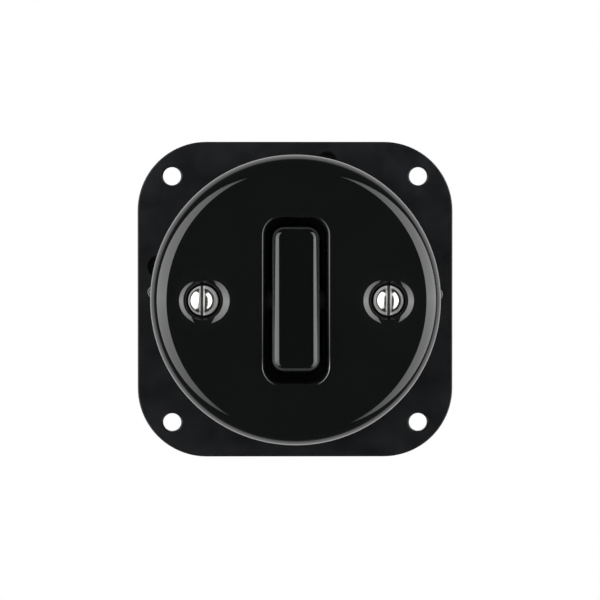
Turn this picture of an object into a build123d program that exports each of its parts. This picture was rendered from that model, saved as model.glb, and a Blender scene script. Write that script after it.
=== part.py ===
"""Flush rocker light switch: glazed porcelain cover and rocker on a moulded mounting plate.

Frame, in millimetres: X to the right, Z up, the front faces -Y. The origin is the centre of the plate's
back, so the wall is the plane y = 0. Heights are measured out from the wall, towards the front.
"""

import os
from math import asin, cos, degrees, radians, sin, tan

from build123d import *

# Mounting plate
plate_margin = 3.65
plate_corner_r = 19.0
plate_t = 3.0
plate_edge_r = 0.4
fixing_inset = 9.5
fixing_hole_d = 5.0
fixing_chamfer = 0.4
recess_d = 5.4
recess_bevel = 0.5
recess_depth = 1.6
recess_inset = 1.15
recess_angles = (77.0, 166.5)

# Porcelain cover
cover_d = 79.7
cover_h = 15.0
cover_wall = 4.5
cover_shoulder_r = 7.0
cover_inner_r = 3.0
cover_foot_r = 0.6
ring_h = 2.0
ring_w = 2.2
ring_gap = 0.25
nub_r = 1.7
nub_out = 0.9
nub_rise = 1.2
nub_angles = (2.0, 177.0)

# Rocker window in the cover
window_w = 17.5
window_l = 45.8
window_corner_r = 5.0
window_draft = 0.5
window_lip_r = 1.0

# Cover screws, their trumpet-mouthed recesses and their inserts
screw_pitch = 50.6
screw_head_d = 8.2
screw_head_h = 3.4
screw_head_side = 1.1
screw_shank_d = 4.0
screw_l = 9.0
screw_slot_w = 1.2
screw_slot_depth = 1.8
head_gap = 0.15
shank_gap = 0.3
recess_lip_r = 7.0
recess_mouth_r = 9.8
seat_depth = 3.4
seat_t = 3.5
cover_boss_wall = 4.6
post_gap = 0.3
post_d = 10.0
insert_d = 6.0
insert_l = 5.6

# Rocker and its bearing
rock_angle = 4.0
rocker_face_angle = 1.5
rocker_rise = 1.1
rocker_end_gap = 3.7
rocker_side_gap = 1.75
rocker_end_draft = 14.0
rocker_edge_r = 3.0
rocker_corner_r = 3.3
rocker_crease_r = 30.0
rocker_skirt_gap = 0.2
socket_w = 7.0
socket_l = 30.0
socket_depth = 3.4
socket_corner_r = 1.0
socket_gap = 0.1
pin_d = 2.5
bearing_r = 2.5
bearing_gap = 0.5
hub_r = 3.0
hub_gap = 0.2
saddle_t = 2.2
saddle_w = 11.0
saddle_l = 37.0
saddle_corner_r = 2.0
tube_d = 8.0
tube_reach = 11.0
tube_wall = 1.4
tube_roof = 2.4

# Spring and plunger
spring_wire_d = 0.6
spring_pitch = 1.3
plunger_reach = 14.2
plunger_nose_r = 1.3
plunger_pilot_d = 2.2
plunger_pilot_l = 3.0
plunger_collar_l = 3.6
plunger_stick_out = 0.6

# Contact bridge, its bracket and the contact tips
bridge_angle = 9.0
bridge_l = 24.0
bridge_w = 6.0
bridge_t = 1.0
bridge_end_r = 1.5
trunnion_d = 1.6
trunnion_root = 1.0
nose_gap = 0.12
tip_inset = 2.5
tip_d = 3.4
tip_h = 1.1
tip_dome_r = 4.0
tip_shank_d = 1.8
fixed_tip_h = 1.0
contact_gap = 0.1
bracket_t = 1.0
bracket_gap = 0.4
bracket_l = 5.0
ear_r = 1.6
rivet_head_d = 3.4
rivet_head_h = 0.7
rivet_d = 2.0

# Strips and pillar terminals
strip_w = 6.0
strip_t = 1.0
terminal_w = 6.8
terminal_depth = 7.6
terminal_l = 12.4
stake_d = 2.4
wire_hole_d = 3.2
wire_hole_l = 8.5
clamp_rise = 4.5
clamp_head_d = 4.8
clamp_head_h = 1.9
clamp_shank_d = 3.4
clamp_shank_l = 2.4
clamp_slot_w = 0.8
clamp_slot_depth = 0.9
access_gap = 0.3

# Housing and rear cover
flange_t = 2.5
flange_w = 28.0
flange_end = 4.0
flange_corner_r = 5.0
flange_screw_pitch = 52.0
flange_screw_d = 3.0
flange_screw_l = 7.0
flange_screw_head_d = 5.6
flange_screw_head_h = 1.8
flange_slot_w = 0.8
flange_slot_depth = 0.9
plate_boss_d = 7.0
plate_boss_h = 3.0
cheek_gap = 1.4
cheek_t = 2.5
cheek_base = 11.0
chamber_ledge = 0.5
chamber_wall = 2.1
housing_wall = 3.0
housing_side_wall = 2.5
housing_corner_r = 4.0
stop_t = 1.8
stop_w = 10.0
stop_gap = 0.3
stop_ledge = 0.6
lid_t = 2.0
lid_edge_r = 0.6
lid_screw_pitch = 28.0
lid_screw_d = 2.5
lid_screw_l = 7.0
lid_screw_head_d = 4.6
lid_screw_head_h = 1.6
lid_screw_edge_r = 0.5
wire_entry_d = 3.8
wire_entry_bevel = 0.6

# Small clearances
fit_gap = 0.05
slide_gap = 0.1
pocket_gap = 0.1

# Heights from the wall
face_h = plate_t + cover_h
ceiling_h = face_h - cover_wall
seat_h = face_h - seat_depth
screw_top_h = seat_h + screw_head_h
cover_boss_h = seat_h - seat_t
post_h = cover_boss_h - post_gap
pivot_h = ceiling_h - bearing_r - bearing_gap
flange_h = plate_t + flange_t
bridge_h = pivot_h - plunger_reach - nose_gap - bridge_t / 2
bridge_tilt = radians(bridge_angle)
tip_z = bridge_l / 2 - tip_inset
tip_centre = tip_dome_r - bridge_t / 2 - tip_h
tip_low_h = bridge_h + tip_centre * cos(bridge_tilt) - tip_z * sin(bridge_tilt) - tip_dome_r
strip_h = tip_low_h - contact_gap - fixed_tip_h
floor_h = strip_h - strip_t
terminal_h = floor_h - terminal_l
rear_h = terminal_h - pocket_gap
clamp_h = terminal_h + clamp_rise

# Radii and breadths
plate_side = cover_d + 2 * plate_margin
fixing_pitch = plate_side - 2 * fixing_inset
cover_r = cover_d / 2
cover_in_r = cover_r - cover_wall
ring_r = cover_in_r - ring_gap
recess_place_r = cover_r - recess_inset
dome_h = screw_head_h - screw_head_side
dome_r = (screw_head_d**2 / 4 + dome_h**2) / (2 * dome_h)
dome_half = degrees(asin(screw_head_d / 2 / dome_r))
screw_bore_r = screw_head_d / 2 + head_gap
cover_boss_r = screw_bore_r + cover_boss_wall
mouth_sweep = degrees(asin((recess_mouth_r - screw_bore_r) / recess_lip_r))
mouth_h = face_h - recess_lip_r * (1 - cos(radians(mouth_sweep)))
rocker_w = window_w - 2 * (window_draft + rocker_side_gap)
cheek_x = rocker_w / 2 + cheek_gap
pin_l = 2 * (cheek_x + cheek_t)
chamber_w = 2 * (cheek_x - chamber_ledge)
chamber_l = saddle_l - 2 * (stop_t + stop_ledge)
pocket_w = terminal_w + 2 * pocket_gap
pocket_l = terminal_depth + 2 * pocket_gap
terminal_x = chamber_w / 2 + chamber_wall + pocket_w / 2
clamp_seat_x = terminal_x + terminal_w / 2
housing_w = 2 * (terminal_x + pocket_w / 2 + housing_side_wall)
housing_l = chamber_l + 2 * housing_wall
flange_l = flange_screw_pitch + 2 * flange_end
rocker_skirt = hub_r + rocker_skirt_gap
tube_bore_r = tube_d / 2 - tube_wall
plunger_r = tube_bore_r - slide_gap
spring_r = plunger_r - spring_wire_d / 2 - slide_gap
ear_x = bridge_w / 2 + bracket_gap
trunnion_l = 2 * (ear_x + bracket_t + bracket_gap)

# The rocker at rest has its top pressed in, in its own tilted planes about the pin.
# The bridge leans the other way.
tilt = radians(rock_angle)
rocker_out = (0, -cos(tilt), sin(tilt))
rocker_up = (0, sin(tilt), cos(tilt))
bridge_out = (0, -cos(bridge_tilt), -sin(bridge_tilt))
pivot = (0, -pivot_h, 0)
rocker_plane = Plane(origin=pivot, x_dir=(1, 0, 0), z_dir=rocker_out)
rocker_side = Plane(origin=pivot, x_dir=rocker_up, z_dir=(1, 0, 0))
bridge_plane = Plane(origin=(0, -bridge_h, 0), x_dir=(1, 0, 0), z_dir=bridge_out)

# Each terminal's side of the chamber and height up the wall
terminals = {
    "common": (-1, 0.0),
    "upper": (1, tip_z),
    "lower": (1, -tip_z),
}


def level(height):
    """Plane parallel to the wall at this height: x to the right, y up, extruding to the front."""
    return Plane.XZ.offset(height)


def side_plane(x):
    """Upright plane at this x: local x up the wall, local y out from it, extruding to the right."""
    return Plane(origin=(x, 0, 0), x_dir=(0, 0, 1), z_dir=(1, 0, 0))


def axial_plane(x):
    """Level plane through an axis at this x: local x to the right, local y towards the wall."""
    return Plane(origin=(x, 0, 0), x_dir=(1, 0, 0), z_dir=(0, 0, 1))


# Mounting plate: rounded square with locating ring, screw posts and corner holes
with BuildPart() as mounting_plate:
    with BuildSketch(level(0)):
        RectangleRounded(plate_side, plate_side, plate_corner_r)
    extrude(amount=plate_t)
    fillet(mounting_plate.edges().group_by(Axis.Y)[0], plate_edge_r)
    with BuildSketch(level(plate_t)):
        Circle(ring_r)
        Circle(ring_r - ring_w, mode=Mode.SUBTRACT)
    extrude(amount=ring_h)
    with BuildSketch(level(plate_t)):
        with GridLocations(screw_pitch, 0, 2, 1):
            Circle(post_d / 2)
    extrude(amount=post_h - plate_t)
    with BuildSketch(level(0)):
        with GridLocations(0, flange_screw_pitch, 1, 2):
            Circle(plate_boss_d / 2)
    extrude(amount=-plate_boss_h)
    with BuildSketch(level(post_h)):
        with GridLocations(screw_pitch, 0, 2, 1):
            Circle(insert_d / 2 + fit_gap)
    extrude(amount=-insert_l, mode=Mode.SUBTRACT)
    with BuildSketch(level(plate_t)):
        with GridLocations(0, flange_screw_pitch, 1, 2):
            Circle(flange_screw_d / 2 + fit_gap)
    extrude(amount=-plate_t - plate_boss_h, mode=Mode.SUBTRACT)
    with BuildSketch(level(0)):
        RectangleRounded(
            housing_w + 2 * pocket_gap, housing_l + 2 * pocket_gap, housing_corner_r + pocket_gap
        )
    extrude(amount=plate_t, mode=Mode.SUBTRACT)
    with Locations(level(plate_t)):
        with GridLocations(fixing_pitch, fixing_pitch, 2, 2):
            CounterSinkHole(fixing_hole_d / 2, fixing_hole_d / 2 + fixing_chamfer, counter_sink_angle=90)
        for angle in recess_angles:
            with PolarLocations(recess_place_r, 1, angle):
                Hole(recess_d / 2, recess_depth)
    recess_rims = mounting_plate.edges().filter_by(GeomType.CIRCLE)
    recess_rims = recess_rims.filter_by(lambda edge: abs(edge.radius - recess_d / 2) < fit_gap)
    chamfer(recess_rims.group_by(Axis.Y)[0], recess_bevel)

# Porcelain cover: a revolved pan with two nubs at its foot, a lipped window and two trumpet-mouthed
# screw recesses
with BuildPart() as porcelain_cover:
    with BuildSketch(Plane.XY):
        with BuildLine():
            Line((0, -face_h), (cover_r - cover_shoulder_r, -face_h))
            CenterArc((cover_r - cover_shoulder_r, cover_shoulder_r - face_h), cover_shoulder_r, -90, 90)
            Line((cover_r, cover_shoulder_r - face_h), (cover_r, -plate_t - cover_foot_r))
            CenterArc((cover_r - cover_foot_r, -plate_t - cover_foot_r), cover_foot_r, 0, 90)
            Line((cover_r - cover_foot_r, -plate_t), (cover_in_r, -plate_t))
            Line((cover_in_r, -plate_t), (cover_in_r, cover_inner_r - ceiling_h))
            CenterArc((cover_in_r - cover_inner_r, cover_inner_r - ceiling_h), cover_inner_r, 0, -90)
            Line((cover_in_r - cover_inner_r, -ceiling_h), (0, -ceiling_h))
            Line((0, -ceiling_h), (0, -face_h))
        make_face()
    revolve(axis=Axis.Y)
    with Locations(level(plate_t + nub_rise)):
        for angle in nub_angles:
            with PolarLocations(cover_r + nub_out - nub_r, 1, angle):
                Sphere(nub_r)
    with BuildSketch(level(plate_t)):
        Circle(cover_r + nub_r)
    extrude(amount=-nub_r, mode=Mode.SUBTRACT)
    with BuildSketch(level(face_h)):
        RectangleRounded(window_w, window_l, window_corner_r)
    with BuildSketch(level(ceiling_h)):
        RectangleRounded(
            window_w - 2 * window_draft, window_l - 2 * window_draft, window_corner_r - window_draft
        )
    loft(mode=Mode.SUBTRACT)
    face_edges = porcelain_cover.edges().group_by(Axis.Y)[0]
    fillet(face_edges.filter_by(lambda edge: edge.length < window_l), window_lip_r)
    with BuildSketch(level(ceiling_h)):
        with GridLocations(screw_pitch, 0, 2, 1):
            Circle(cover_boss_r)
    extrude(amount=cover_boss_h - ceiling_h)
    for x in (-screw_pitch / 2, screw_pitch / 2):
        with BuildSketch(axial_plane(x)):
            with BuildLine():
                Line((0, -face_h), (recess_mouth_r, -face_h))
                CenterArc((recess_mouth_r, recess_lip_r - face_h), recess_lip_r, -90, -mouth_sweep)
                Line((screw_bore_r, -mouth_h), (screw_bore_r, -seat_h))
                Line((screw_bore_r, -seat_h), (0, -seat_h))
                Line((0, -seat_h), (0, -face_h))
            make_face()
        revolve(axis=Axis((x, 0, 0), (0, 1, 0)), mode=Mode.SUBTRACT)
    with BuildSketch(level(seat_h)):
        with GridLocations(screw_pitch, 0, 2, 1):
            Circle(screw_shank_d / 2 + shank_gap)
    extrude(amount=cover_boss_h - seat_h, mode=Mode.SUBTRACT)

# Cover screws: round slotted heads on plain shanks
with BuildPart() as cover_screws:
    for x in (-screw_pitch / 2, screw_pitch / 2):
        with BuildSketch(axial_plane(x)):
            with BuildLine():
                Line((0, -seat_h), (screw_head_d / 2, -seat_h))
                Line((screw_head_d / 2, -seat_h), (screw_head_d / 2, -seat_h - screw_head_side))
                CenterArc((0, dome_r - screw_top_h), dome_r, dome_half - 90, -dome_half)
                Line((0, -screw_top_h), (0, -seat_h))
            make_face()
        revolve(axis=Axis((x, 0, 0), (0, 1, 0)))
    with BuildSketch(level(seat_h)):
        with GridLocations(screw_pitch, 0, 2, 1):
            Circle(screw_shank_d / 2)
    extrude(amount=-screw_l)
    with BuildSketch(level(screw_top_h)):
        with GridLocations(screw_pitch, 0, 2, 1):
            Rectangle(screw_slot_w, screw_head_d)
    extrude(amount=-screw_slot_depth, mode=Mode.SUBTRACT)

# Threaded brass inserts in the plate's posts
with BuildPart() as cover_inserts:
    with BuildSketch(level(post_h)):
        with GridLocations(screw_pitch, 0, 2, 1):
            Circle(insert_d / 2)
            Circle(screw_shank_d / 2 + fit_gap, mode=Mode.SUBTRACT)
    extrude(amount=-insert_l)

# Mechanism housing: block behind the plate, flange on its front, bearing cheeks and contact chamber
with BuildPart() as mechanism_housing:
    with BuildSketch(level(rear_h)):
        RectangleRounded(housing_w, housing_l, housing_corner_r)
    extrude(amount=flange_h - rear_h)
    with BuildSketch(level(plate_t)):
        RectangleRounded(flange_w, flange_l, flange_corner_r)
    extrude(amount=flange_t)
    for x in (cheek_x, -cheek_x - cheek_t):
        with BuildSketch(side_plane(x)):
            with BuildLine():
                Polyline(
                    (-cheek_base / 2, flange_h),
                    (cheek_base / 2, flange_h),
                    (bearing_r, pivot_h),
                    (-bearing_r, pivot_h),
                    close=True,
                )
            make_face()
            with Locations((0, pivot_h)):
                Circle(bearing_r)
                Circle(pin_d / 2 + fit_gap, mode=Mode.SUBTRACT)
        extrude(amount=cheek_t)
    stop_z = saddle_l / 2 - stop_t / 2
    stop_h = pivot_h + (rocker_skirt - saddle_t) * cos(tilt) - saddle_l / 2 * sin(tilt) - stop_gap
    with BuildSketch(level(flange_h)):
        with GridLocations(0, 2 * stop_z, 1, 2):
            Rectangle(stop_w, stop_t)
    extrude(amount=stop_h - flange_h)
    with BuildSketch(level(flange_h)):
        Rectangle(chamber_w, chamber_l)
    extrude(amount=floor_h - flange_h, mode=Mode.SUBTRACT)
    with BuildSketch(level(floor_h)):
        for side, z in terminals.values():
            with Locations((side * terminal_x / 2, z)):
                SlotCenterToCenter(terminal_x, strip_w + 2 * pocket_gap)
    extrude(amount=strip_t + pocket_gap, mode=Mode.SUBTRACT)
    with BuildSketch(level(rear_h)):
        for side, z in terminals.values():
            with Locations((side * terminal_x, z)):
                Rectangle(pocket_w, pocket_l)
    extrude(amount=floor_h + strip_t + pocket_gap - rear_h, mode=Mode.SUBTRACT)
    for side, z in terminals.values():
        with BuildSketch(side_plane(side * terminal_x)):
            with Locations((z, clamp_h)):
                Circle(clamp_head_d / 2 + access_gap)
        extrude(amount=side * (housing_w / 2 - terminal_x), mode=Mode.SUBTRACT)
    with BuildSketch(level(flange_h)):
        with GridLocations(0, flange_screw_pitch, 1, 2):
            Circle(flange_screw_d / 2 + slide_gap)
    extrude(amount=-flange_t, mode=Mode.SUBTRACT)
    with BuildSketch(level(rear_h)):
        with GridLocations(0, lid_screw_pitch, 1, 2):
            Circle(lid_screw_d / 2 + fit_gap)
    extrude(amount=lid_screw_l - lid_t, mode=Mode.SUBTRACT)

# Screws that hold the housing's flange to the plate
with BuildPart() as housing_screws:
    with BuildSketch(level(flange_h)):
        with GridLocations(0, flange_screw_pitch, 1, 2):
            Circle(flange_screw_head_d / 2)
    extrude(amount=flange_screw_head_h)
    with BuildSketch(level(flange_h)):
        with GridLocations(0, flange_screw_pitch, 1, 2):
            Circle(flange_screw_d / 2)
    extrude(amount=-flange_screw_l)
    with BuildSketch(level(flange_h + flange_screw_head_h)):
        with GridLocations(0, flange_screw_pitch, 1, 2):
            Rectangle(flange_screw_head_d, flange_slot_w)
    extrude(amount=-flange_slot_depth, mode=Mode.SUBTRACT)

# Pivot pin through the bearing cheeks
with BuildPart() as pivot_pin:
    with BuildSketch(side_plane(-pin_l / 2)):
        with Locations((0, pivot_h)):
            Circle(pin_d / 2)
    extrude(amount=pin_l)

# Porcelain rocker: V-faced bar with drafted ends, one rounding all round its face, socket underneath
with BuildPart() as porcelain_rocker:
    vertex_v = face_h + rocker_rise - pivot_h
    end_u = window_l / 2 - rocker_end_gap
    end_v = vertex_v + end_u * tan(radians(rocker_face_angle))
    skirt_u = end_u + (end_v - rocker_skirt) * tan(radians(rocker_end_draft))
    with BuildSketch(rocker_side) as rocker_profile:
        with BuildLine():
            Polyline(
                (-skirt_u, rocker_skirt),
                (skirt_u, rocker_skirt),
                (end_u, end_v),
                (0, vertex_v),
                (-end_u, end_v),
                close=True,
            )
        make_face()
        fillet(rocker_profile.vertices().sort_by_distance((0, vertex_v))[0], rocker_crease_r)
    extrude(amount=rocker_w / 2, both=True)
    front_axis = Axis(pivot, rocker_out)
    up_axis = Axis(pivot, rocker_up)
    end_faces = porcelain_rocker.faces().filter_by(GeomType.PLANE).sort_by(up_axis)
    corner_edges = []
    for end_face in (end_faces[0], end_faces[-1]):
        corner_edges += end_face.edges().filter_by(Axis.X, reverse=True)
    fillet(corner_edges, rocker_corner_r)
    long_edges = []
    for flank in porcelain_rocker.faces().filter_by(Axis.X):
        long_edges += flank.edges().sort_by(front_axis)[-3:]
    fillet(long_edges, rocker_edge_r)
    with BuildSketch(rocker_plane.offset(rocker_skirt)):
        RectangleRounded(socket_w, socket_l, socket_corner_r)
    extrude(amount=socket_depth, mode=Mode.SUBTRACT)

# Rocker cradle: saddle and tenon under the porcelain, hub on the pin, tube for spring and plunger
with BuildPart() as rocker_cradle:
    with BuildSketch(rocker_plane.offset(rocker_skirt - saddle_t)):
        RectangleRounded(saddle_w, saddle_l, saddle_corner_r)
    extrude(amount=saddle_t)
    with BuildSketch(rocker_plane.offset(rocker_skirt)):
        RectangleRounded(socket_w - 2 * socket_gap, socket_l - 2 * socket_gap, socket_corner_r - socket_gap)
    extrude(amount=socket_depth - socket_gap)
    with BuildSketch(rocker_side):
        Circle(hub_r)
    extrude(amount=cheek_x - hub_gap, both=True)
    with BuildSketch(rocker_plane.offset(-tube_reach)):
        Circle(tube_d / 2)
    extrude(amount=tube_reach)
    with BuildSketch(rocker_plane.offset(-tube_reach)):
        Circle(tube_bore_r)
    extrude(amount=tube_reach - tube_roof, mode=Mode.SUBTRACT)
    with BuildSketch(rocker_side):
        Circle(pin_d / 2 + fit_gap)
    extrude(amount=cheek_x, both=True, mode=Mode.SUBTRACT)

# Plunger: nose that rides on the bridge, collar that slides in the tube, pilot inside the spring
with BuildPart() as plunger:
    collar_v = -tube_reach - plunger_stick_out
    pilot_v = collar_v + plunger_collar_l
    nose_v = plunger_nose_r - plunger_reach
    with BuildSketch(rocker_plane.offset(collar_v)):
        Circle(plunger_r)
    extrude(amount=plunger_collar_l)
    with BuildSketch(rocker_plane.offset(pilot_v)):
        Circle(plunger_pilot_d / 2)
    extrude(amount=plunger_pilot_l)
    with BuildSketch(rocker_plane.offset(nose_v)):
        Circle(plunger_nose_r)
    extrude(amount=collar_v - nose_v)
    with Locations(rocker_plane.offset(nose_v)):
        Sphere(plunger_nose_r)

# Compression spring between the tube's roof and the plunger's collar
with BuildPart() as plunger_spring:
    spring_low = pilot_v + spring_wire_d / 2 + fit_gap
    spring_h = -tube_roof - spring_wire_d / 2 - fit_gap - spring_low
    with BuildLine() as coil:
        Helix(spring_pitch, spring_h, spring_r, rocker_plane.offset(spring_low).origin, rocker_out)
    with BuildSketch(Plane(origin=coil.line @ 0, z_dir=coil.line % 0)):
        Circle(spring_wire_d / 2)
    sweep(path=coil.line, is_frenet=True)

# Contact bridge: flat see-saw with trunnions at its two sides
with BuildPart() as contact_bridge:
    with BuildSketch(bridge_plane.offset(-bridge_t / 2)):
        RectangleRounded(bridge_w, bridge_l, bridge_end_r)
        with GridLocations(0, 2 * tip_z, 1, 2):
            Circle(tip_shank_d / 2 + fit_gap, mode=Mode.SUBTRACT)
    extrude(amount=bridge_t)
    for x in (bridge_w / 2 - trunnion_root, -trunnion_l / 2):
        with BuildSketch(side_plane(x)):
            with Locations((0, bridge_h)):
                Circle(trunnion_d / 2)
        extrude(amount=trunnion_l / 2 - bridge_w / 2 + trunnion_root)

# Domed silver tips riveted under the bridge's two ends
moving_tips = {}
for name, z in (("upper", tip_z), ("lower", -tip_z)):
    tip_origin = bridge_plane.from_local_coords((0, z, 0))
    tip_plane = Plane(origin=tip_origin, x_dir=(1, 0, 0), z_dir=(0, sin(bridge_tilt), -cos(bridge_tilt)))
    dome_angle = degrees(asin(tip_d / 2 / tip_dome_r))
    dome_edge_v = tip_centre - tip_dome_r * cos(radians(dome_angle))
    with BuildPart() as moving_tip:
        with BuildSketch(tip_plane):
            with BuildLine():
                CenterArc((0, tip_centre), tip_dome_r, -90, dome_angle)
                Polyline(
                    (tip_d / 2, dome_edge_v),
                    (tip_d / 2, -bridge_t / 2),
                    (tip_shank_d / 2, -bridge_t / 2),
                    (tip_shank_d / 2, bridge_t / 2),
                    (0, bridge_t / 2),
                    (0, -bridge_t / 2 - tip_h),
                )
            make_face()
        revolve(axis=Axis(tip_origin, bridge_out))
    moving_tips[name] = moving_tip

# Bracket: a U of sheet brass whose ears carry the bridge's trunnions
with BuildPart() as bridge_bracket:
    with BuildSketch(level(strip_h)):
        Rectangle(2 * (ear_x + bracket_t), bracket_l)
    extrude(amount=bracket_t)
    for x in (ear_x, -ear_x - bracket_t):
        with BuildSketch(side_plane(x)):
            with BuildLine():
                Polyline(
                    (-bracket_l / 2, strip_h),
                    (bracket_l / 2, strip_h),
                    (ear_r, bridge_h),
                    (-ear_r, bridge_h),
                    close=True,
                )
            make_face()
            with Locations((0, bridge_h)):
                Circle(ear_r)
                Circle(trunnion_d / 2 + fit_gap, mode=Mode.SUBTRACT)
        extrude(amount=bracket_t)
    with BuildSketch(level(strip_h)):
        Circle(rivet_d / 2 + fit_gap)
    extrude(amount=bracket_t, mode=Mode.SUBTRACT)

# Rivet that joins the bracket to the common strip
with BuildPart() as bracket_rivet:
    with BuildSketch(level(floor_h)):
        Circle(rivet_d / 2)
    extrude(amount=strip_t + bracket_t)
    with BuildSketch(level(strip_h + bracket_t)):
        Circle(rivet_head_d / 2)
    extrude(amount=rivet_head_h)
    fillet(bracket_rivet.edges().group_by(Axis.Y)[0], rivet_head_h / 2)

# Flat strips that lead from the chamber to the terminals
strips = {}
for name, (side, z) in terminals.items():
    inner_hole_d = rivet_d if name == "common" else tip_shank_d
    with BuildPart() as strip:
        with BuildSketch(level(floor_h)):
            with Locations((side * terminal_x / 2, z)):
                SlotCenterToCenter(terminal_x, strip_w)
            with Locations((0, z)):
                Circle(inner_hole_d / 2 + fit_gap, mode=Mode.SUBTRACT)
            with Locations((side * terminal_x, z)):
                Circle(stake_d / 2 + fit_gap, mode=Mode.SUBTRACT)
        extrude(amount=strip_t)
    strips[name] = strip

# Flat silver tips riveted on the upper and lower strips
fixed_tips = {}
for name in moving_tips:
    with BuildPart() as fixed_tip:
        with BuildSketch(level(strip_h)):
            with Locations((0, terminals[name][1])):
                Circle(tip_d / 2)
        extrude(amount=fixed_tip_h)
        fillet(fixed_tip.edges().group_by(Axis.Y)[0], fixed_tip_h / 3)
        with BuildSketch(level(floor_h)):
            with Locations((0, terminals[name][1])):
                Circle(tip_shank_d / 2)
        extrude(amount=strip_t)
    fixed_tips[name] = fixed_tip

# Pillar terminals: staked to their strips, wire hole from the rear, clamp screw from the side
pillars = {}
for name, (side, z) in terminals.items():
    with BuildPart() as pillar:
        with BuildSketch(level(terminal_h)):
            with Locations((side * terminal_x, z)):
                Rectangle(terminal_w, terminal_depth)
        extrude(amount=terminal_l)
        with BuildSketch(level(floor_h)):
            with Locations((side * terminal_x, z)):
                Circle(stake_d / 2)
        extrude(amount=strip_t)
        with BuildSketch(level(terminal_h)):
            with Locations((side * terminal_x, z)):
                Circle(wire_hole_d / 2)
        extrude(amount=wire_hole_l, mode=Mode.SUBTRACT)
        with BuildSketch(side_plane(side * terminal_x)):
            with Locations((z, clamp_h)):
                Circle(clamp_shank_d / 2 + fit_gap)
        extrude(amount=side * terminal_w / 2, mode=Mode.SUBTRACT)
    pillars[name] = pillar

# Clamp screws in the pillars' sides
with BuildPart() as terminal_screws:
    for side, z in terminals.values():
        with BuildSketch(side_plane(side * clamp_seat_x)):
            with Locations((z, clamp_h)):
                Circle(clamp_shank_d / 2)
        extrude(amount=-side * clamp_shank_l)
        with BuildSketch(side_plane(side * clamp_seat_x)):
            with Locations((z, clamp_h)):
                Circle(clamp_head_d / 2)
        extrude(amount=side * clamp_head_h)
        with BuildSketch(side_plane(side * (clamp_seat_x + clamp_head_h))):
            with Locations((z, clamp_h)):
                Rectangle(clamp_head_d, clamp_slot_w)
        extrude(amount=-side * clamp_slot_depth, mode=Mode.SUBTRACT)

# Rear cover: insulating lid over the terminals with three wire entries
with BuildPart() as rear_cover:
    with BuildSketch(level(rear_h)):
        RectangleRounded(housing_w, housing_l, housing_corner_r)
    extrude(amount=-lid_t)
    fillet(rear_cover.edges().group_by(Axis.Y)[-1], lid_edge_r)
    with BuildSketch(level(rear_h)):
        for side, z in terminals.values():
            with Locations((side * terminal_x, z)):
                Circle(wire_entry_d / 2)
        with GridLocations(0, lid_screw_pitch, 1, 2):
            Circle(lid_screw_d / 2 + slide_gap)
    extrude(amount=-lid_t, mode=Mode.SUBTRACT)
    entry_rims = rear_cover.edges().filter_by(GeomType.CIRCLE)
    entry_rims = entry_rims.filter_by(lambda edge: abs(edge.radius - wire_entry_d / 2) < fit_gap)
    chamfer(entry_rims.group_by(Axis.Y)[-1], wire_entry_bevel)

# Screws that hold the rear cover
with BuildPart() as rear_cover_screws:
    with BuildSketch(level(rear_h - lid_t)):
        with GridLocations(0, lid_screw_pitch, 1, 2):
            Circle(lid_screw_head_d / 2)
    extrude(amount=-lid_screw_head_h)
    with BuildSketch(level(rear_h - lid_t)):
        with GridLocations(0, lid_screw_pitch, 1, 2):
            Circle(lid_screw_d / 2)
    extrude(amount=lid_screw_l)
    fillet(rear_cover_screws.edges().group_by(Axis.Y)[-1], lid_screw_edge_r)
    with BuildSketch(level(rear_h - lid_t - lid_screw_head_h)):
        with GridLocations(0, lid_screw_pitch, 1, 2):
            Rectangle(lid_screw_head_d, flange_slot_w)
    extrude(amount=flange_slot_depth, mode=Mode.SUBTRACT)

# One labelled STEP file for each piece
pieces = {
    "mounting_plate": mounting_plate,
    "porcelain_cover": porcelain_cover,
    "cover_screws": cover_screws,
    "cover_inserts": cover_inserts,
    "mechanism_housing": mechanism_housing,
    "housing_screws": housing_screws,
    "pivot_pin": pivot_pin,
    "porcelain_rocker": porcelain_rocker,
    "rocker_cradle": rocker_cradle,
    "plunger": plunger,
    "plunger_spring": plunger_spring,
    "contact_bridge": contact_bridge,
    "bridge_bracket": bridge_bracket,
    "bracket_rivet": bracket_rivet,
    "terminal_screws": terminal_screws,
    "rear_cover": rear_cover,
    "rear_cover_screws": rear_cover_screws,
}
pieces.update({f"{name}_moving_tip": piece for name, piece in moving_tips.items()})
pieces.update({f"{name}_fixed_tip": piece for name, piece in fixed_tips.items()})
pieces.update({f"{name}_strip": piece for name, piece in strips.items()})
pieces.update({f"{name}_terminal": piece for name, piece in pillars.items()})

os.makedirs("parts", exist_ok=True)
for name, piece in pieces.items():
    piece.part.label = name
    export_step(piece.part, f"parts/{name}.step")
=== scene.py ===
# %% [markdown]
# # A porcelain rocker switch
# The part is a flush light switch: a round cover and a rocker of black glazed porcelain on a square moulded
# plate, with a small contact mechanism behind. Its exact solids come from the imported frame, and they are
# already smooth enough to show. This lesson gives every piece its finish, models the screws that a lens would
# look at closely and the spring that has to shorten, and sets up the camera and the light. The frame is in
# metres: X to the right, Z up, and the wall is the plane Y = 0, with the front of the switch towards -Y.

# %% Load the frame
import math

import bmesh
import bpy
from mathutils import Matrix, Vector


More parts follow.
